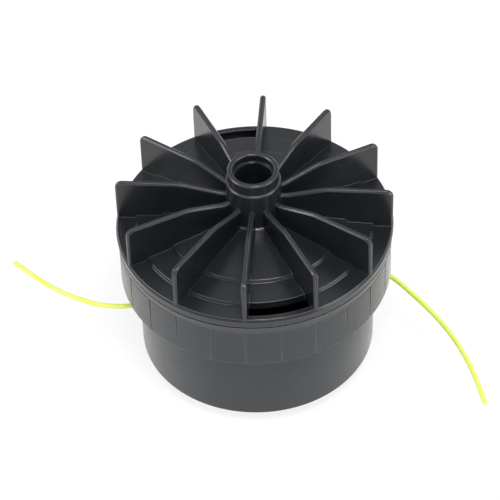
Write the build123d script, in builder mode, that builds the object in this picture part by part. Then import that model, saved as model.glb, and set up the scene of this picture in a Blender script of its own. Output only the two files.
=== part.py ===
from build123d import *
import math
import os

# Trimmer line spool head with a cooling fan, in millimetres, +Z up.
# It stands on the face of its tap knob, with the shaft bore opening upward.
os.makedirs("parts", exist_ok=True)

# Line tails, each from its winding out through its eyelet to the cut end
tail_routes = {
    "right": [
        (35.9, 13.2, 32.8), (44.6, 12.4, 30.0), (53.5, 10.2, 29.1), (62.5, 2.3, 27.0),
        (74.0, -8.8, 24.0), (83.0, -21.2, 21.1), (89.9, -36.2, 18.4), (92.8, -45.9, 16.5),
    ],
    "left": [
        (-36.5, -11.0, 27.3), (-44.6, -12.4, 30.0), (-57.0, -12.6, 28.2), (-68.0, -8.8, 26.4),
        (-79.0, -2.6, 24.7), (-88.0, 4.4, 23.1), (-95.0, 10.9, 21.9), (-101.6, 17.3, 20.7),
    ],
}

# Sizes read from the photo, scaled from the 2 mm line
disc_d = 109.2
line_d = 2.0
rim_top_z = 68.15
rim_h = 4.1
rim_bevel_w = 0.6
rim_bevel_h = 1.2
rim_draft = 0.35
rim_width = 2.8
window_width = 5.6
window_sector = 3
window_lap = 0.3
land_width = 10.5
step_low = 1.2
step_mid = 1.8
step_high = 3.0
step_slope = 0.5
cone_rise = 5.5
hub_rise = 27.4
hub_d = 21.5
hub_root_r = 1.0
spigot_d = 20.2
spigot_h = 5.0
mouth_d = 15.9
mouth_depth = 3.5
shaft_bore_d = 14.4
blade_count = 12
blade_thick = 2.2
blade_rise = 18.3
blade_dip = 3.7
blade_kink_r = 28.0
blade_inset = 0.3
blade_corner_r = 3.0
blade_bend_r = 12.0
blade_edge = 0.6
collar_h = 3.7
band_inset = 0.7
band_h = 17.6
band_depth = 6.85
pad_count = 24
pad_proud = 0.15
groove_top_w = 1.1
groove_low_w = 0.5
groove_depth = 0.4
groove_low_depth = 0.2

# Sizes chosen as such heads have them
wall = 2.4
shelf_fall = 1.0
disc_thick = 2.4
skirt_h = 5.8
skirt_wall = 2.1
bar_h = 2.8
bayonet_half = 6.0
way_in_half = 8.0
way_in_turn = 20.0
tap_travel = 6.0
exit_angle = 15.5
exit_z = 30.0
eyelet_play = 2.0
eyelet_wall = 0.8
eyelet_lip = 1.4
eyelet_flange_h = 1.1
eyelet_reach = 0.4
eyelet_mouth = 0.5
boss_h = 0.9
boss_margin = 0.5
post_d = 18.0
post_foot_z = 18.0
post_bore_d = 10.0
post_cap = 6.0
insert_drop = 11.8
insert_h = 12.0
insert_d = 13.2
thread_bore_d = 6.64
lug_inner_r = 29.0
lug_outer_r = 38.0
lug_count = 4
lug_half = 6.0
lug_drop = 3.6
lug_rise = 3.0
lug_gap = 1.0
cup_lug_h = 4.0
spool_lug_turn = -14.0
spool_core_d = 36.0
spool_h = 36.2
spool_gap = 1.1
foot_ring_d = 48.0
foot_h = 3.2
flange_thick = 2.0
divider_sink = 0.2
winding_edge = 0.8
recess_d = 30.4
washer_rise = 24.0
washer_h = 1.0
spring_seat_rise = 1.6
spring_seat_d = 34.0
spring_wire_d = 1.6
spring_mean_d = 25.0
spring_turns = 5
knob_proud = 6.0
knob_d = 45.6
knob_round = 4.4
knob_face = 3.0
knob_lip = 3.2
knob_flange_h = 2.2
clip_d = 32.2
clip_wall = 2.1

# Fits and small edges
running = 0.06
slide_gap = 0.3
seat_gap = 0.05
rest_gap = 0.1
joint_gap = 0.6
lug_clear = 0.2
edge_break = 0.4
lead_in = 0.8
overlap = 0.5

# Radii that follow, from the disc inward
disc_r = disc_d / 2
window_outer_r = disc_r - rim_width
window_inner_r = window_outer_r - window_width
step_outer_r = window_inner_r + window_lap
step_inner_r = step_outer_r - land_width
collar_r = disc_r - rim_draft
pad_r = disc_r - band_inset
cup_r = pad_r - band_depth
cup_in_r = cup_r - wall
upper_in_r = pad_r - groove_depth - wall
skirt_r = upper_in_r - slide_gap
skirt_in_r = skirt_r - skirt_wall
blade_out_r = disc_r - blade_inset
hub_r = hub_d / 2
bore_r = shaft_bore_d / 2
knob_r = knob_d / 2
knob_hole_r = knob_r + slide_gap
spool_flange_r = cup_in_r - spool_gap
spool_bore_r = post_d / 2 + running
wound_r = math.hypot(*tail_routes["right"][0][:2]) - line_d / 2 - rest_gap
boss_face_r = cup_r + boss_h
eyelet_bore_r = line_d / 2 + eyelet_play
eyelet_shank_r = eyelet_bore_r + eyelet_wall
eyelet_flange_r = eyelet_shank_r + eyelet_lip

# Heights that follow
hub_top_z = rim_top_z + hub_rise
spigot_z = hub_top_z - spigot_h
blade_top_z = rim_top_z + blade_rise
blade_root_z = blade_top_z - blade_dip
joint_z = rim_top_z - rim_h
band_top_z = joint_z - collar_h
band_low_z = band_top_z - band_h
skirt_low_z = joint_z - skirt_h
lock_bar_z = skirt_low_z + bar_h
spring_seat_z = rim_top_z + spring_seat_rise
insert_z = rim_top_z - insert_drop
floor_z = knob_proud + wall
knob_flange_z = floor_z + rest_gap
knob_top_z = knob_flange_z + knob_flange_h
spool_low_z = knob_top_z + foot_h
spool_top_z = spool_low_z + spool_h
housing_lug_z = spool_top_z + tap_travel + lug_gap
washer_z = spool_low_z + washer_rise
blade_step = 360 / blade_count
window_mid = (window_sector + 0.5) * blade_step


def arc_sector(r_in, r_out, mid, half, z_low):
    """The face between two radii and two angles, at one height."""
    with BuildSketch(Plane.XY.offset(z_low)) as sector:
        with BuildLine():
            inner = CenterArc((0, 0), r_in, mid - half, 2 * half)
            outer = CenterArc((0, 0), r_out, mid - half, 2 * half)
            Line(inner @ 0, outer @ 0)
            Line(inner @ 1, outer @ 1)
        make_face()
    return sector.sketch


# One fan blade, with curved bends and its free edges broken
with BuildPart() as blade:
    with BuildSketch(Plane.XZ):
        with BuildLine():
            Polyline(
                (bore_r + wall / 2, rim_top_z + step_high),
                (bore_r + wall / 2, blade_root_z),
                (hub_r + wall, blade_root_z),
                (blade_kink_r, blade_top_z),
                (blade_out_r, blade_top_z),
                (blade_out_r, rim_top_z - rim_bevel_h - overlap),
                (step_outer_r, rim_top_z - rim_bevel_h - overlap),
                close=True,
            )
        make_face()
        fillet(vertices().sort_by_distance((blade_out_r, blade_top_z))[0], blade_corner_r)
        for bend in ((blade_kink_r, blade_top_z), (hub_r + wall, blade_root_z)):
            fillet(vertices().sort_by_distance(bend)[0], blade_bend_r)
    extrude(amount=blade_thick / 2, both=True)
    free = blade.faces().filter_by(Axis.Y).edges().filter_by(
        lambda e: e.center().Z > blade_root_z - overlap or e.center().X > blade_out_r - blade_corner_r)
    chamfer(free, blade_edge)

# Fan housing: hub, stepped disc, skirt, spool post, blades and index lugs in one moulding
with BuildPart() as fan_housing:
    with BuildSketch(Plane.XZ):
        with BuildLine():
            Polyline(
                (0, insert_z),
                (insert_d / 2, insert_z),
                (insert_d / 2, insert_z + insert_h),
                (bore_r, insert_z + insert_h),
                (bore_r, hub_top_z - mouth_depth),
                (mouth_d / 2, hub_top_z - mouth_depth),
                (mouth_d / 2, hub_top_z - edge_break),
                (mouth_d / 2 + edge_break, hub_top_z),
                (spigot_d / 2 - edge_break, hub_top_z),
                (spigot_d / 2, hub_top_z - edge_break),
                (spigot_d / 2, spigot_z),
                (hub_r - edge_break, spigot_z),
                (hub_r, spigot_z - edge_break),
                (hub_r, rim_top_z + cone_rise),
                (step_inner_r, rim_top_z + step_high),
                (step_inner_r + step_slope, rim_top_z + step_mid),
                (step_outer_r, rim_top_z + step_low),
                (step_outer_r + step_slope, rim_top_z),
                (disc_r - rim_bevel_w, rim_top_z),
                (disc_r, rim_top_z - rim_bevel_h),
                (disc_r - rim_draft, joint_z),
                (skirt_r, joint_z),
                (skirt_r, skirt_low_z),
                (skirt_in_r, skirt_low_z),
                (skirt_in_r, rim_top_z - disc_thick),
                (step_outer_r, rim_top_z - disc_thick),
                (step_outer_r - disc_thick / 2, rim_top_z + step_low - disc_thick),
                (step_inner_r, rim_top_z + step_mid - disc_thick),
                (step_inner_r - disc_thick / 2, rim_top_z + step_high - disc_thick),
                (spring_seat_d / 2, spring_seat_z),
                (post_d / 2, spring_seat_z),
                (post_d / 2, post_foot_z + lead_in),
                (post_d / 2 - lead_in, post_foot_z),
                (post_bore_d / 2, post_foot_z),
                (post_bore_d / 2, insert_z - post_cap),
                (0, insert_z - post_cap),
                close=True,
            )
        make_face()
        fillet(vertices().sort_by_distance((hub_r, rim_top_z + cone_rise))[0], hub_root_r)
    revolve(axis=Axis.Z)
    # Blades, standing on the disc and running into the hub
    with PolarLocations(0, blade_count):
        add(blade.part)
    # Two windows in opposite sectors, over the bayonet bars, each with a way in beside its bar
    window_half = blade_step / 2 - math.degrees(blade_thick / 2 / window_inner_r)
    for turn in (window_mid, window_mid + 180):
        window = arc_sector(window_inner_r, window_outer_r, turn, window_half, lock_bar_z)
        extrude(window, amount=rim_top_z + step_high - lock_bar_z, mode=Mode.SUBTRACT)
        way_in = arc_sector(
            skirt_in_r - overlap, skirt_r + overlap, turn + way_in_turn, way_in_half, skirt_low_z - overlap)
        extrude(way_in, amount=skirt_h, mode=Mode.SUBTRACT)
    # Index lugs that catch the spool while it is tapped
    for k in range(lug_count):
        lug = arc_sector(lug_inner_r, lug_outer_r, k * 360 / lug_count, lug_half, housing_lug_z)
        extrude(lug, amount=rim_top_z + step_low - housing_lug_z)
fan_housing.part.label = "fan_housing"
export_step(fan_housing.part, "parts/fan_housing.step")

# Threaded steel insert, pressed into the foot of the shaft bore
with BuildPart() as drive_insert:
    with BuildSketch(Plane.XY.offset(insert_z + seat_gap)):
        Circle(insert_d / 2 - seat_gap)
        Circle(thread_bore_d / 2, mode=Mode.SUBTRACT)
    extrude(amount=insert_h - 2 * seat_gap)
    chamfer(drive_insert.edges().filter_by(GeomType.CIRCLE).group_by(Axis.Z)[-1], edge_break)
drive_insert.part.label = "drive_insert"
export_step(drive_insert.part, "parts/drive_insert.step")

# One groove of the grip band, a V that narrows and runs out downward
with BuildPart() as groove:
    for level, width, depth in (
        (band_low_z, groove_low_w, groove_low_depth),
        (band_top_z, groove_top_w, groove_depth),
    ):
        spread = width / 2 * (1 + overlap / depth)
        with BuildSketch(Plane.XY.offset(level)):
            with BuildLine():
                Polyline((pad_r - depth, 0), (pad_r + overlap, -spread), (pad_r + overlap, spread), close=True)
            make_face()
    loft()

# Cup: plain lower wall, grip band, collar, floor with the knob hole, index lugs and bayonet lugs
with BuildPart() as cup:
    with BuildSketch(Plane.XZ):
        with BuildLine():
            Polyline(
                (knob_hole_r, knob_proud),
                (cup_r - lead_in, knob_proud),
                (cup_r, knob_proud + lead_in),
                (cup_r, band_low_z),
                (pad_r - edge_break, band_low_z),
                (pad_r, band_low_z + edge_break),
                (pad_r, band_top_z - pad_proud),
                (pad_r - pad_proud, band_top_z),
                (collar_r, joint_z - joint_gap),
                (upper_in_r, joint_z - joint_gap),
                (upper_in_r, band_low_z + wall),
                (cup_in_r, band_low_z + wall - shelf_fall),
                (cup_in_r, floor_z),
                (knob_hole_r, floor_z),
                close=True,
            )
        make_face()
    revolve(axis=Axis.Z)
    # Grooves that part the band into grip pads
    with PolarLocations(0, pad_count):
        add(groove.part, mode=Mode.SUBTRACT)
    # Index lugs on the floor and bayonet lugs under the collar
    for k in range(lug_count):
        lug = arc_sector(lug_inner_r, lug_outer_r, k * 360 / lug_count, lug_half, floor_z - overlap)
        extrude(lug, amount=cup_lug_h + overlap)
    for turn in (window_mid, window_mid + 180):
        lug = arc_sector(
            skirt_in_r + slide_gap, upper_in_r + overlap, turn, bayonet_half, lock_bar_z + lug_clear)
        extrude(lug, amount=joint_z - joint_gap - lock_bar_z - lug_clear)
    # Flat bosses and holes for the two line eyelets
    for turn in (exit_angle, exit_angle + 180):
        outward = Vector(1, 0, 0).rotate(Axis.Z, turn)
        way_out = Plane((0, 0, exit_z), x_dir=(0, 0, 1), z_dir=outward)
        with BuildSketch(way_out.offset(cup_in_r + overlap)):
            Circle(eyelet_flange_r + boss_margin)
        extrude(amount=boss_face_r - cup_in_r - overlap)
        with BuildSketch(way_out.offset(cup_in_r - overlap)):
            Circle(eyelet_shank_r + seat_gap)
        extrude(amount=boss_face_r - cup_in_r + 2 * overlap, mode=Mode.SUBTRACT)
cup.part.label = "cup"
export_step(cup.part, "parts/cup.step")

# Line eyelets: turned metal tubes with a flange and bevelled mouths
eyelet_start = cup_in_r - eyelet_reach
eyelet_end = boss_face_r + eyelet_flange_h
for side, turn in (("right", exit_angle), ("left", exit_angle + 180)):
    outward = Vector(1, 0, 0).rotate(Axis.Z, turn)
    across = Vector(0, 1, 0).rotate(Axis.Z, turn)
    with BuildPart() as line_eyelet:
        with BuildSketch(Plane((0, 0, exit_z), x_dir=(0, 0, 1), z_dir=across)):
            with BuildLine():
                Polyline(
                    (eyelet_bore_r + eyelet_mouth, eyelet_start),
                    (eyelet_shank_r, eyelet_start),
                    (eyelet_shank_r, boss_face_r + seat_gap),
                    (eyelet_flange_r, boss_face_r + seat_gap),
                    (eyelet_flange_r, eyelet_end - eyelet_mouth),
                    (eyelet_flange_r - eyelet_mouth, eyelet_end),
                    (eyelet_bore_r + eyelet_mouth, eyelet_end),
                    (eyelet_bore_r, eyelet_end - eyelet_mouth),
                    (eyelet_bore_r, eyelet_start + eyelet_mouth),
                    close=True,
                )
            make_face()
        revolve(axis=Axis((0, 0, exit_z), outward))
    line_eyelet.part.label = "line_eyelet_" + side
    export_step(line_eyelet.part, "parts/line_eyelet_" + side + ".step")

# Spool: hub running on the post, two flanges, a divider level with the exits, lugs both ends
divider_r = wound_r - divider_sink
half_divider = flange_thick / 2
socket_r = clip_d / 2 + lug_clear
with BuildPart() as spool:
    with BuildSketch(Plane.XZ):
        with BuildLine():
            Polyline(
                (spool_bore_r, spool_low_z),
                (socket_r, spool_low_z),
                (socket_r, knob_top_z),
                (foot_ring_d / 2, knob_top_z),
                (foot_ring_d / 2, spool_low_z),
                (spool_flange_r, spool_low_z),
                (spool_flange_r, spool_low_z + flange_thick),
                (spool_core_d / 2, spool_low_z + flange_thick),
                (spool_core_d / 2, exit_z - half_divider),
                (divider_r, exit_z - half_divider),
                (divider_r, exit_z + half_divider),
                (spool_core_d / 2, exit_z + half_divider),
                (spool_core_d / 2, spool_top_z - flange_thick),
                (spool_flange_r, spool_top_z - flange_thick),
                (spool_flange_r, spool_top_z),
                (recess_d / 2, spool_top_z),
                (recess_d / 2, washer_z),
                (spool_bore_r, washer_z),
                close=True,
            )
        make_face()
    revolve(axis=Axis.Z)
    for k in range(lug_count):
        turn = spool_lug_turn + k * 360 / lug_count
        lug = arc_sector(lug_inner_r, lug_outer_r, turn, lug_half, spool_low_z - lug_drop)
        extrude(lug, amount=lug_drop + overlap)
        lug = arc_sector(lug_inner_r, lug_outer_r, turn, lug_half, spool_top_z - overlap)
        extrude(lug, amount=lug_rise + overlap)
spool.part.label = "spool"
export_step(spool.part, "parts/spool.step")

# The wound line, one roll above the divider and one below it
for level, z_low, z_high in (
    ("lower", spool_low_z + flange_thick, exit_z - half_divider),
    ("upper", exit_z + half_divider, spool_top_z - flange_thick),
):
    with BuildPart() as line_winding:
        with BuildSketch(Plane.XY.offset(z_low + seat_gap)):
            Circle(wound_r)
            Circle(spool_core_d / 2 + seat_gap, mode=Mode.SUBTRACT)
        extrude(amount=z_high - z_low - 2 * seat_gap)
        outer = line_winding.edges().filter_by(GeomType.CIRCLE).sort_by(SortBy.RADIUS)[-2:]
        chamfer(outer, winding_edge)
    line_winding.part.label = "line_winding_" + level
    export_step(line_winding.part, "parts/line_winding_" + level + ".step")

# Thrust washer between the spring and the turning spool
with BuildPart() as thrust_washer:
    with BuildSketch(Plane.XY.offset(washer_z + seat_gap)):
        Circle(recess_d / 2 - slide_gap)
        Circle(post_d / 2 + slide_gap, mode=Mode.SUBTRACT)
    extrude(amount=washer_h)
thrust_washer.part.label = "thrust_washer"
export_step(thrust_washer.part, "parts/thrust_washer.step")

# Return spring round the post
spring_low = washer_z + washer_h + 2 * seat_gap + spring_wire_d / 2
spring_length = spring_seat_z - seat_gap - spring_wire_d / 2 - spring_low
with BuildPart() as spring:
    with BuildLine():
        coil = Helix(spring_length / spring_turns, spring_length, spring_mean_d / 2, center=(0, 0, spring_low))
    with BuildSketch(Plane(coil @ 0, z_dir=coil % 0)):
        RegularPolygon(spring_wire_d / 2, 6)
    sweep(is_frenet=True)
spring.part.label = "spring"
export_step(spring.part, "parts/spring.step")

# Tap knob: a cap clipped into the spool's foot, reaching out through the cup's floor
with BuildPart() as tap_knob:
    with BuildSketch(Plane.XZ):
        with BuildLine():
            Polyline(
                (0, 0),
                (knob_r, 0),
                (knob_r, knob_flange_z),
                (knob_r + knob_lip, knob_flange_z),
                (knob_r + knob_lip, knob_top_z - seat_gap),
                (clip_d / 2, knob_top_z - seat_gap),
                (clip_d / 2, spool_low_z - slide_gap),
                (clip_d / 2 - clip_wall, spool_low_z - slide_gap),
                (clip_d / 2 - clip_wall, knob_face),
                (0, knob_face),
                close=True,
            )
        make_face()
        fillet(vertices().sort_by_distance((knob_r, 0))[0], knob_round)
    revolve(axis=Axis.Z)
tap_knob.part.label = "tap_knob"
export_step(tap_knob.part, "parts/tap_knob.step")

# The two line tails, each bend's radius worked out from its shorter run
for side, route in tail_routes.items():
    points = [Vector(*p) for p in route]
    bends = []
    for before, corner, after in zip(points, points[1:], points[2:]):
        run = min((corner - before).length, (after - corner).length)
        turn = math.radians((corner - before).get_angle(after - corner))
        bends.append(0.45 * run / math.tan(turn / 2))
    with BuildPart() as line_tail:
        with BuildLine():
            path = FilletPolyline(*points, radius=bends)
        with BuildSketch(Plane(path @ 0, z_dir=path % 0)):
            Circle(line_d / 2)
        sweep()
    print(side, "tail length", round(path.length, 2), "bend radii", [round(b, 1) for b in bends])
    line_tail.part.label = "line_tail_" + side
    export_step(line_tail.part, "parts/line_tail_" + side + ".step")
    expected = math.pi * (line_d / 2) ** 2 * path.length
    print("volume against section times length", round(line_tail.part.volume / expected, 4))
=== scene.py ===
import math

import bpy
from bpy.props import FloatProperty, FloatVectorProperty, PointerProperty, StringProperty
from mathutils import Matrix, Vector


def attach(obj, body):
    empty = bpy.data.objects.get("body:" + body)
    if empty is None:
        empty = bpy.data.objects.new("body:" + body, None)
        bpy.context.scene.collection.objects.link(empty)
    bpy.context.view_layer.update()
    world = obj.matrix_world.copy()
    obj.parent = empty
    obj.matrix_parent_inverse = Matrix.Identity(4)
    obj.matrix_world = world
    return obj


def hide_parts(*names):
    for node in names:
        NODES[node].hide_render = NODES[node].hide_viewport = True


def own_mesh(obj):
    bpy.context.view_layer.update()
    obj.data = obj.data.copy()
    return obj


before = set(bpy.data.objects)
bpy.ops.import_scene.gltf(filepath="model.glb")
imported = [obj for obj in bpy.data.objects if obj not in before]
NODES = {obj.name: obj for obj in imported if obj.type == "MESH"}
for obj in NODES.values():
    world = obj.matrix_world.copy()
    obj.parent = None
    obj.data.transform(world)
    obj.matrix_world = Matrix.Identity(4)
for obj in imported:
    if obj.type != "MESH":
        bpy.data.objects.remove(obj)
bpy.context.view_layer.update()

bl_info = {
    "name": "Trimmer Line Spool",
    "version": (1, 0, 0),
    "blender": (4, 5, 0),
    "location": "View3D > Sidebar > Line Spool",
    "description": "Dresses a tap-feed trimmer head with its fan, cup, line and metal fittings",
    "category": "Object",
}

# The tails' routes, from the winding out through the eyelet to the cut end, in metres.
TAIL_ROUTES = {
    "line_tail_right": [
        (0.0359, 0.0132, 0.0328), (0.0446, 0.0124, 0.0300), (0.0535, 0.0102, 0.0291),
        (0.0625, 0.0023, 0.0270), (0.0740, -0.0088, 0.0240), (0.0830, -0.0212, 0.0211),
        (0.0899, -0.0362, 0.0184), (0.0928, -0.0459, 0.0165),
    ],
    "line_tail_left": [
        (-0.0365, -0.0110, 0.0273), (-0.0446, -0.0124, 0.0300), (-0.0570, -0.0126, 0.0282),
        (-0.0680, -0.0088, 0.0264), (-0.0790, -0.0026, 0.0247), (-0.0880, 0.0044, 0.0231),
        (-0.0950, 0.0109, 0.0219), (-0.1016, 0.0173, 0.0207),
    ],
}
# The paper floor's half width, and how far it lies under the knob, in metres.
FLOOR_HALF = 3.0
FLOOR_DROP = 0.0002
# The share of the floor that shows as plain white. The rest keeps the shadow.
FLOOR_GLOW = 0.8
# The point that the lamps face, in metres.
LAMP_TARGET = (0, 0, 0.05)
# Each lamp's name, place and width in metres, and power in watts.
SOFTBOXES = (
    ("softbox_top", (0.2, -0.6, 1.45), 0.45, 15.0),
    ("softbox_left", (-1.3, -0.3, 0.8), 0.7, 10.5),
    ("softbox_right", (1.2, -0.5, 0.5), 0.8, 9.0),
)
# The second tone that clouds each material, as sRGB hex colours.
HOUSING_FLOW = "#1c1f24"
CUP_FLOW = "#25292c"
LINE_PALE = "#d8e27c"
METAL_DULL = "#8f9092"


def linear(hex_colour):
    """An sRGB hex colour as linear RGBA."""
    out = []
    for i in (1, 3, 5):
        c = int(hex_colour[i:i + 2], 16) / 255
        out.append(c / 12.92 if c <= 0.04045 else ((c + 0.055) / 1.055) ** 2.4)
    return (*out, 1.0)


def add_node(tree, kind, inputs=None, **settings):
    """Adds a node, sets its properties, and links or sets its inputs."""
    node = tree.nodes.new(kind)
    for key, value in settings.items():
        setattr(node, key, value)
    for key, value in (inputs or {}).items():
        if isinstance(value, bpy.types.NodeSocket):
            tree.links.new(value, node.inputs[key])
        else:
            node.inputs[key].default_value = value
    return node


def per_metre(millimetres):
    """A texture scale that repeats about once in the given millimetres."""
    return 1000.0 / millimetres


def wave_scale(millimetres):
    """A wave texture's scale for one wave in the given millimetres. It has 20 radians to a unit."""
    return per_metre(millimetres) * 2 * math.pi / 20


def new_material(name):
    """An empty node material and its tree."""
    material = bpy.data.materials.new(name)
    material.use_nodes = True
    material.node_tree.nodes.clear()
    return material, material.node_tree


def close_material(tree, shader):
    """Links the last shader to the material's output."""
    add_node(tree, "ShaderNodeOutputMaterial", {"Surface": shader})


def dress(names, material):
    """Gives the named pieces one material."""
    for name in names:
        slots = NODES[name].data.materials
        slots.clear()
        slots.append(material)


def soft_edges(tree, radius_mm):
    """A normal that rounds every corner a little, as a moulding's corners are, and a mask of the
    outer corners, where the two normals part. The mask paints those corners paler, partly as
    handling wear and partly as a painted highlight."""
    bevel = add_node(tree, "ShaderNodeBevel", {"Radius": radius_mm / 1000}, samples=6)
    soft = bevel.outputs["Normal"]
    shape = add_node(tree, "ShaderNodeNewGeometry")
    agree = add_node(tree, "ShaderNodeVectorMath", {
        0: shape.outputs["Normal"], 1: soft}, operation="DOT_PRODUCT")
    corner = add_node(tree, "ShaderNodeMapRange", {
        "Value": agree.outputs["Value"], "From Min": 0.99, "From Max": 0.93})
    # Pointiness is over one half on outer corners and under it in hollows
    outer = add_node(tree, "ShaderNodeMapRange", {
        "Value": shape.outputs["Pointiness"], "From Min": 0.495, "From Max": 0.51})
    # The paler colour on these outer corners is partly handling wear and partly a painted highlight
    # along every edge
    wear_and_highlight_mask = add_node(tree, "ShaderNodeMath", {
        0: corner.outputs["Result"], 1: outer.outputs["Result"]}, operation="MULTIPLY")
    return soft, wear_and_highlight_mask.outputs["Value"]


def clouded(tree, place, size_mm, detail, colour, second):
    """Soft clouds of the given width, and two sRGB hex colours mixed by them."""
    noise = add_node(tree, "ShaderNodeTexNoise", {
        "Vector": place, "Scale": per_metre(size_mm), "Detail": detail})
    cloud = noise.outputs["Fac"]
    tone = add_node(tree, "ShaderNodeMix", {
        "Factor": cloud, "A": linear(colour), "B": linear(second)}, data_type="RGBA")
    return cloud, tone.outputs["Result"]


def polyamide_gloss_moulded(colour, edge_wear_and_highlight):
    """Glass-filled polyamide from a polished tool: deep black, with blurred reflections and
    the faint rings that the tool's turning left on the disc. Free edges are painted paler, partly
    as handling wear and partly as a painted highlight."""
    material, tree = new_material("polyamide_gloss_moulded")
    coordinates = add_node(tree, "ShaderNodeTexCoord")
    place = coordinates.outputs["Object"]
    # Flow marks, soft clouds in the gloss about as wide as a blade gap
    cloud, tone = clouded(tree, place, 14, 3.0, colour, HOUSING_FLOW)
    gloss = add_node(tree, "ShaderNodeMapRange", {
        "Value": cloud, "From Min": 0.3, "From Max": 0.7, "To Min": 0.18, "To Max": 0.28})
    # Outer corners painted paler: partly handling wear, partly a painted edge highlight
    soft, wear_and_highlight_mask = soft_edges(tree, 0.5)
    skin_tone = add_node(tree, "ShaderNodeMix", {
        "Factor": wear_and_highlight_mask, "A": tone, "B": linear(edge_wear_and_highlight)}, data_type="RGBA")
    # Turning rings, 0.9 mm apart, and a fine skin of glass fibre, drawn coarser than life to show
    rings = add_node(tree, "ShaderNodeTexWave", {
        "Vector": place, "Scale": wave_scale(0.9), "Distortion": 0.4, "Detail": 1.0},
        wave_type="RINGS", rings_direction="Z")
    skin = add_node(tree, "ShaderNodeTexNoise", {
        "Vector": place, "Scale": per_metre(0.9), "Detail": 2.0})
    level = add_node(tree, "ShaderNodeSeparateXYZ", {0: coordinates.outputs["Normal"]})
    turned = add_node(tree, "ShaderNodeMath", {
        0: rings.outputs["Fac"], 1: level.outputs["Z"]}, operation="MULTIPLY")
    lathe = add_node(tree, "ShaderNodeBump", {
        "Height": turned.outputs["Value"], "Strength": 0.2, "Distance": 0.0002, "Normal": soft})
    peel = add_node(tree, "ShaderNodeBump", {
        "Height": skin.outputs["Fac"], "Strength": 0.08, "Distance": 0.0003,
        "Normal": lathe.outputs["Normal"]})
    shader = add_node(tree, "ShaderNodeBsdfPrincipled", {
        "Base Color": skin_tone.outputs["Result"], "Roughness": gloss.outputs["Result"],
        "IOR": 1.53, "Normal": peel.outputs["Normal"]})
    close_material(tree, shader.outputs["BSDF"])
    return material


def polypropylene_spark_eroded(name, colour, edge_wear_and_highlight, grain_mm):
    """Polypropylene from a spark-eroded tool: black with an even satin grain that spreads
    each highlight and pales toward the outline. Its corners are painted paler, partly as handling
    wear and partly as a painted highlight."""
    material, tree = new_material(name)
    place = add_node(tree, "ShaderNodeTexCoord").outputs["Object"]
    # Flow marks, soft clouds in the satin a little wider than a pad of the band
    cloud, tone = clouded(tree, place, 22, 4.0, colour, CUP_FLOW)
    satin = add_node(tree, "ShaderNodeMapRange", {
        "Value": cloud, "From Min": 0.3, "From Max": 0.7, "To Min": 0.2, "To Max": 0.28})
    # Outer corners painted paler: partly handling wear, partly a painted edge highlight
    soft, wear_and_highlight_mask = soft_edges(tree, 0.4)
    skin_tone = add_node(tree, "ShaderNodeMix", {
        "Factor": wear_and_highlight_mask, "A": tone, "B": linear(edge_wear_and_highlight)}, data_type="RGBA")
    # The real grain is about 0.1 mm, too fine for the picture, so it is drawn coarser
    grain = add_node(tree, "ShaderNodeTexNoise", {
        "Vector": place, "Scale": per_metre(grain_mm), "Detail": 2.0})
    pits = add_node(tree, "ShaderNodeBump", {
        "Height": grain.outputs["Fac"], "Strength": 0.75, "Distance": 0.0003, "Normal": soft})
    shader = add_node(tree, "ShaderNodeBsdfPrincipled", {
        "Base Color": skin_tone.outputs["Result"], "Roughness": satin.outputs["Result"],
        "IOR": 1.5, "Sheen Weight": 0.3, "Sheen Roughness": 0.3, "Normal": pits.outputs["Normal"]})
    close_material(tree, shader.outputs["BSDF"])
    return material


def nylon_monofilament(name, colour, turn_mm=0.0):
    """Drawn nylon line: a clear yellow-green body that glows where light enters it, with a
    smooth skin. On the rolls the turns lie side by side, one line's thickness apart."""
    material, tree = new_material(name)
    place = add_node(tree, "ShaderNodeTexCoord").outputs["Object"]
    # The dye lies in clouds about three line thicknesses long
    _, tone = clouded(tree, place, 6, 2.0, colour, LINE_PALE)
    # Blue is soaked up soonest inside the line, so the glow is yellow-green
    inputs = {
        "Base Color": tone, "Roughness": 0.28, "IOR": 1.53, "Subsurface Weight": 0.35,
        "Subsurface Radius": (0.9, 1.0, 0.25), "Subsurface Scale": 0.002}
    if turn_mm:
        turns = add_node(tree, "ShaderNodeTexWave", {
            "Vector": place, "Scale": wave_scale(turn_mm), "Distortion": 0.6, "Detail": 1.0},
            wave_type="BANDS", bands_direction="Z")
        inputs["Normal"] = add_node(tree, "ShaderNodeBump", {
            "Height": turns.outputs["Fac"], "Strength": 0.9, "Distance": 0.001}).outputs["Normal"]
    shader = add_node(tree, "ShaderNodeBsdfPrincipled", inputs)
    close_material(tree, shader.outputs["BSDF"])
    return material


def bright_metal(name, colour, roughness, mark_mm, direction):
    """A bare metal surface with the fine marks of how it was cut or drawn."""
    material, tree = new_material(name)
    place = add_node(tree, "ShaderNodeTexCoord").outputs["Object"]
    marks = add_node(tree, "ShaderNodeTexWave", {
        "Vector": place, "Scale": wave_scale(mark_mm), "Distortion": 1.5, "Detail": 2.0},
        wave_type="BANDS", bands_direction=direction)
    # Dull spots, about 3 mm wide
    _, tone = clouded(tree, place, 3, 3.0, colour, METAL_DULL)
    cut = add_node(tree, "ShaderNodeBump", {
        "Height": marks.outputs["Fac"], "Strength": 0.3, "Distance": 0.0002})
    shader = add_node(tree, "ShaderNodeBsdfPrincipled", {
        "Base Color": tone, "Metallic": 1.0, "Roughness": roughness,
        "Normal": cut.outputs["Normal"]})
    close_material(tree, shader.outputs["BSDF"])
    return material


class LineSpoolPlastics(bpy.types.PropertyGroup):
    """Colours of the mouldings."""
    housing: StringProperty(
        name="Fan Housing", description="sRGB hex colour of the glossy housing", default="#141619")
    # The edge colour is partly handling wear and partly a painted highlight laid on every outer
    # corner
    edge_wear_and_highlight: StringProperty(
        name="Rubbed Edges", description="sRGB hex colour of corners worn by handling",
        default="#4a4c4f")
    cup: StringProperty(
        name="Cup", description="sRGB hex colour of the satin cup", default="#171a1d")
    spool: StringProperty(
        name="Spool", description="sRGB hex colour of the inner spool", default="#202124")


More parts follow.
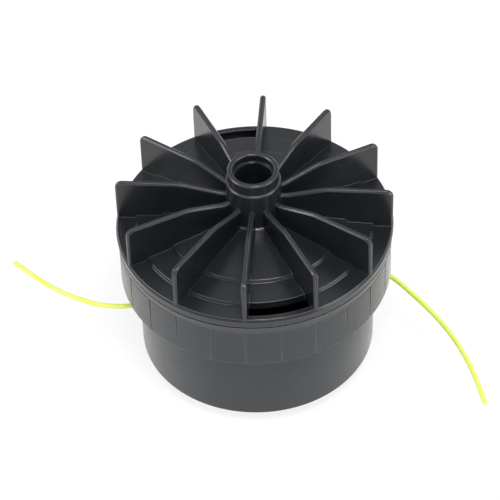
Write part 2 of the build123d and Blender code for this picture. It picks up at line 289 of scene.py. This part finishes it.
class LineSpoolLine(bpy.types.PropertyGroup):
    """The nylon line."""
    diameter: FloatProperty(
        name="Diameter", description="Thickness of the line", default=0.002, min=0.001, max=0.004,
        unit="LENGTH", precision=4)
    colour: StringProperty(
        name="Colour", description="sRGB hex colour of the nylon", default="#cbdb3c")


class LineSpoolStage(bpy.types.PropertyGroup):
    """Camera and light."""
    azimuth: FloatProperty(
        name="Azimuth", description="Camera's turn round the part", default=math.radians(5.557),
        subtype="ANGLE")
    elevation: FloatProperty(
        name="Elevation", description="Camera's angle above the floor",
        default=math.radians(45.5), subtype="ANGLE")
    roll: FloatProperty(
        name="Roll", description="Camera's tilt about its own line of sight",
        default=math.radians(-1.93), subtype="ANGLE")
    distance: FloatProperty(
        name="Distance", description="From the aim point to the lens", default=1.0378,
        unit="LENGTH")
    aim: FloatVectorProperty(
        name="Aim", description="The point that the camera is set out from",
        default=(0.0, 0.0, 0.04635), subtype="TRANSLATION", unit="LENGTH")
    slide: FloatVectorProperty(
        name="Slide", description="The camera's move right and up in its own plane",
        default=(-0.00232, 0.00328), size=2, unit="LENGTH")
    lens: FloatProperty(
        name="Lens", description="Focal length on a 36 mm sensor, in millimetres", default=187.2)


class LINESPOOL_OT_fan_housing(bpy.types.Operator):
    """Gives the fan housing its glossy black polyamide"""
    bl_idname = "linespool.fan_housing"
    bl_label = "Fan Housing"

    def execute(self, context):
        colours = context.scene.line_spool_plastics
        dress(["fan_housing"], polyamide_gloss_moulded(colours.housing, colours.edge_wear_and_highlight))
        return {"FINISHED"}


class LINESPOOL_OT_cup(bpy.types.Operator):
    """Gives the cup, the tap knob and the spool their satin polypropylene"""
    bl_idname = "linespool.cup"
    bl_label = "Cup, Knob and Spool"

    def execute(self, context):
        colours = context.scene.line_spool_plastics
        outside = polypropylene_spark_eroded(
            "polypropylene_spark_eroded", colours.cup, colours.edge_wear_and_highlight, grain_mm=0.7)
        inside = polypropylene_spark_eroded(
            "polypropylene_spool", colours.spool, colours.edge_wear_and_highlight, grain_mm=1.2)
        dress(["cup", "tap_knob"], outside)
        dress(["spool"], inside)
        return {"FINISHED"}


class LINESPOOL_OT_metalwork(bpy.types.Operator):
    """Gives the insert, eyelets, washer and spring their metals"""
    bl_idname = "linespool.metalwork"
    bl_label = "Metalwork"

    def execute(self, context):
        # Pieces, material, colour, roughness, spacing of the marks in mm and their axis
        for names, *metal in (
            (["drive_insert"], "steel_zinc_plated_threaded", "#c9cacb", 0.32, 1.25, "Z"),
            (["line_eyelet_left", "line_eyelet_right"],
             "aluminium_turned", "#d6d7d9", 0.26, 0.5, "X"),
            (["thrust_washer"], "steel_stamped", "#b9babc", 0.38, 0.8, "X"),
            (["spring"], "spring_steel_drawn", "#8d8e91", 0.3, 0.6, "Y"),
        ):
            dress(names, bright_metal(*metal))
        self.make_spring(context.scene)
        return {"FINISHED"}

    def make_spring(self, scene):
        """A copy of the spring with a mesh of its own, hung on the head in place of the hidden
        spring.
        """
        spring = bpy.data.objects.new("spring_coil", NODES["spring"].data.copy())
        scene.collection.objects.link(spring)
        spring.matrix_world = NODES["spring"].matrix_world.copy()
        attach(spring, "head")
        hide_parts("spring")
        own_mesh(spring)


class LINESPOOL_OT_line(bpy.types.Operator):
    """Lays the two free tails as smooth curves and dresses the rolls of wound line"""
    bl_idname = "linespool.line"
    bl_label = "Line"

    def execute(self, context):
        line = context.scene.line_spool_line
        nylon = nylon_monofilament("nylon_monofilament", line.colour)
        wound = nylon_monofilament("nylon_wound", line.colour, turn_mm=line.diameter * 1000)
        dress(["line_winding_upper", "line_winding_lower"], wound)
        for name, route in TAIL_ROUTES.items():
            curve = bpy.data.curves.new(name + "_free", "CURVE")
            curve.dimensions = "3D"
            curve.resolution_u = 16
            curve.bevel_depth = line.diameter / 2
            curve.bevel_resolution = 5
            curve.use_fill_caps = True
            spline = curve.splines.new("NURBS")
            spline.points.add(len(route) - 1)
            for point, place in zip(spline.points, route):
                point.co = (*place, 1.0)
            spline.order_u = 3
            spline.use_endpoint_u = True
            tail = bpy.data.objects.new(name + "_free", curve)
            context.scene.collection.objects.link(tail)
            curve.materials.append(nylon)
            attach(tail, "head")
            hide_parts(name)
        return {"FINISHED"}


class LINESPOOL_OT_stage(bpy.types.Operator):
    """Sets the white floor, the soft lights and the camera"""
    bl_idname = "linespool.stage"
    bl_label = "Stage"

    def execute(self, context):
        scene = context.scene
        scene.view_settings.view_transform = "Standard"
        self.make_floor(scene)
        self.make_world(scene)
        self.make_lamps(scene)
        self.make_camera(scene)
        return {"FINISHED"}

    def make_floor(self, scene):
        """A wide sheet of white paper. It shows as white, and keeps a trace of the shadow."""
        mesh = bpy.data.meshes.new("paper_floor")
        signs = ((-1, -1), (1, -1), (1, 1), (-1, 1))
        corners = [(x * FLOOR_HALF, y * FLOOR_HALF, 0) for x, y in signs]
        mesh.from_pydata(corners, [], [(0, 1, 2, 3)])
        floor = bpy.data.objects.new("paper_floor", mesh)
        scene.collection.objects.link(floor)
        floor.location.z = -FLOOR_DROP
        material, tree = new_material("paper_white")
        paths = add_node(tree, "ShaderNodeLightPath")
        seen = add_node(tree, "ShaderNodeMath", {
            0: paths.outputs["Is Camera Ray"], 1: paths.outputs["Is Glossy Ray"]},
            operation="MAXIMUM")
        seen = add_node(tree, "ShaderNodeMath", {
            0: seen.outputs[0], 1: paths.outputs["Is Transmission Ray"]}, operation="MAXIMUM")
        share = add_node(tree, "ShaderNodeMath", {
            0: seen.outputs[0], 1: FLOOR_GLOW}, operation="MULTIPLY")
        paper = add_node(tree, "ShaderNodeBsdfDiffuse", {"Color": linear("#f4f4f4")})
        glow = add_node(tree, "ShaderNodeEmission", {"Color": linear("#ffffff"), "Strength": 1.0})
        both = add_node(tree, "ShaderNodeMixShader", {
            0: share.outputs[0], 1: paper.outputs["BSDF"], 2: glow.outputs["Emission"]})
        # From below the sheet is clear, so the knob can be looked at
        below = add_node(tree, "ShaderNodeNewGeometry").outputs["Backfacing"]
        clear = add_node(tree, "ShaderNodeBsdfTransparent")
        sheet = add_node(tree, "ShaderNodeMixShader", {
            0: below, 1: both.outputs["Shader"], 2: clear.outputs["BSDF"]})
        close_material(tree, sheet.outputs["Shader"])
        mesh.materials.append(material)

    def make_world(self, scene):
        """A white tent all round, seen as plain white."""
        world = bpy.data.worlds.new("white_tent")
        scene.world = world
        world.use_nodes = True
        tree = world.node_tree
        tree.nodes.clear()
        paths = add_node(tree, "ShaderNodeLightPath")
        strength = add_node(tree, "ShaderNodeMapRange", {
            "Value": paths.outputs["Is Camera Ray"], "To Min": 0.68, "To Max": 1.0})
        tent = add_node(tree, "ShaderNodeBackground", {
            "Color": linear("#ffffff"), "Strength": strength.outputs["Result"]})
        add_node(tree, "ShaderNodeOutputWorld", {"Surface": tent.outputs["Background"]})

    def make_lamps(self, scene):
        """A softbox above and in front, and weaker ones at the left and the right."""
        for name, place, size, power in SOFTBOXES:
            data = bpy.data.lights.new(name, "AREA")
            data.size = size
            data.energy = power
            lamp = bpy.data.objects.new(name, data)
            scene.collection.objects.link(lamp)
            lamp.location = place
            lamp.rotation_mode = "QUATERNION"
            toward = Vector(LAMP_TARGET) - Vector(place)
            lamp.rotation_quaternion = toward.to_track_quat("-Z", "Y")

    def make_camera(self, scene):
        """A long lens, set out from the aim point by angle and distance."""
        stage = scene.line_spool_stage
        data = bpy.data.cameras.new("camera")
        data.sensor_width = 36.0
        data.lens = stage.lens
        camera = bpy.data.objects.new("camera", data)
        scene.collection.objects.link(camera)
        turn = Matrix.Rotation(stage.azimuth, 3, "Z")
        look = turn @ Vector((0, math.cos(stage.elevation), -math.sin(stage.elevation)))
        right = turn @ Vector((1, 0, 0))
        up = right.cross(look)
        tilted_right = math.cos(stage.roll) * right + math.sin(stage.roll) * up
        tilted_up = math.cos(stage.roll) * up - math.sin(stage.roll) * right
        place = Vector(stage.aim) - stage.distance * look
        place += stage.slide[0] * tilted_right + stage.slide[1] * tilted_up
        axes = Matrix((tilted_right, tilted_up, -look)).transposed().to_4x4()
        camera.matrix_world = Matrix.Translation(place) @ axes
        scene.camera = camera


class LINESPOOL_PT_panel(bpy.types.Panel):
    """Lists the steps that dress the part"""
    bl_idname = "LINESPOOL_PT_panel"
    bl_label = "Trimmer Line Spool"
    bl_space_type = "VIEW_3D"
    bl_region_type = "UI"
    bl_category = "Line Spool"

    def draw(self, context):
        layout = self.layout
        for group in ("line_spool_plastics", "line_spool_line", "line_spool_stage"):
            settings = getattr(context.scene, group)
            box = layout.box()
            for key in settings.__annotations__:
                box.prop(settings, key)
        for step in STEPS:
            layout.operator(step.bl_idname)


STEPS = (
    LINESPOOL_OT_fan_housing, LINESPOOL_OT_cup, LINESPOOL_OT_metalwork, LINESPOOL_OT_line,
    LINESPOOL_OT_stage,
)
CLASSES = (LineSpoolPlastics, LineSpoolLine, LineSpoolStage, *STEPS, LINESPOOL_PT_panel)


def register():
    for cls in CLASSES:
        bpy.utils.register_class(cls)
    bpy.types.Scene.line_spool_plastics = PointerProperty(type=LineSpoolPlastics)
    bpy.types.Scene.line_spool_line = PointerProperty(type=LineSpoolLine)
    bpy.types.Scene.line_spool_stage = PointerProperty(type=LineSpoolStage)


def unregister():
    del bpy.types.Scene.line_spool_stage
    del bpy.types.Scene.line_spool_line
    del bpy.types.Scene.line_spool_plastics
    for cls in reversed(CLASSES):
        bpy.utils.unregister_class(cls)


def main():
    register()
    bpy.ops.linespool.stage()
    bpy.ops.linespool.line()
    bpy.ops.linespool.fan_housing()
    bpy.ops.linespool.cup()
    bpy.ops.linespool.metalwork()


if __name__ == "__main__":
    main()
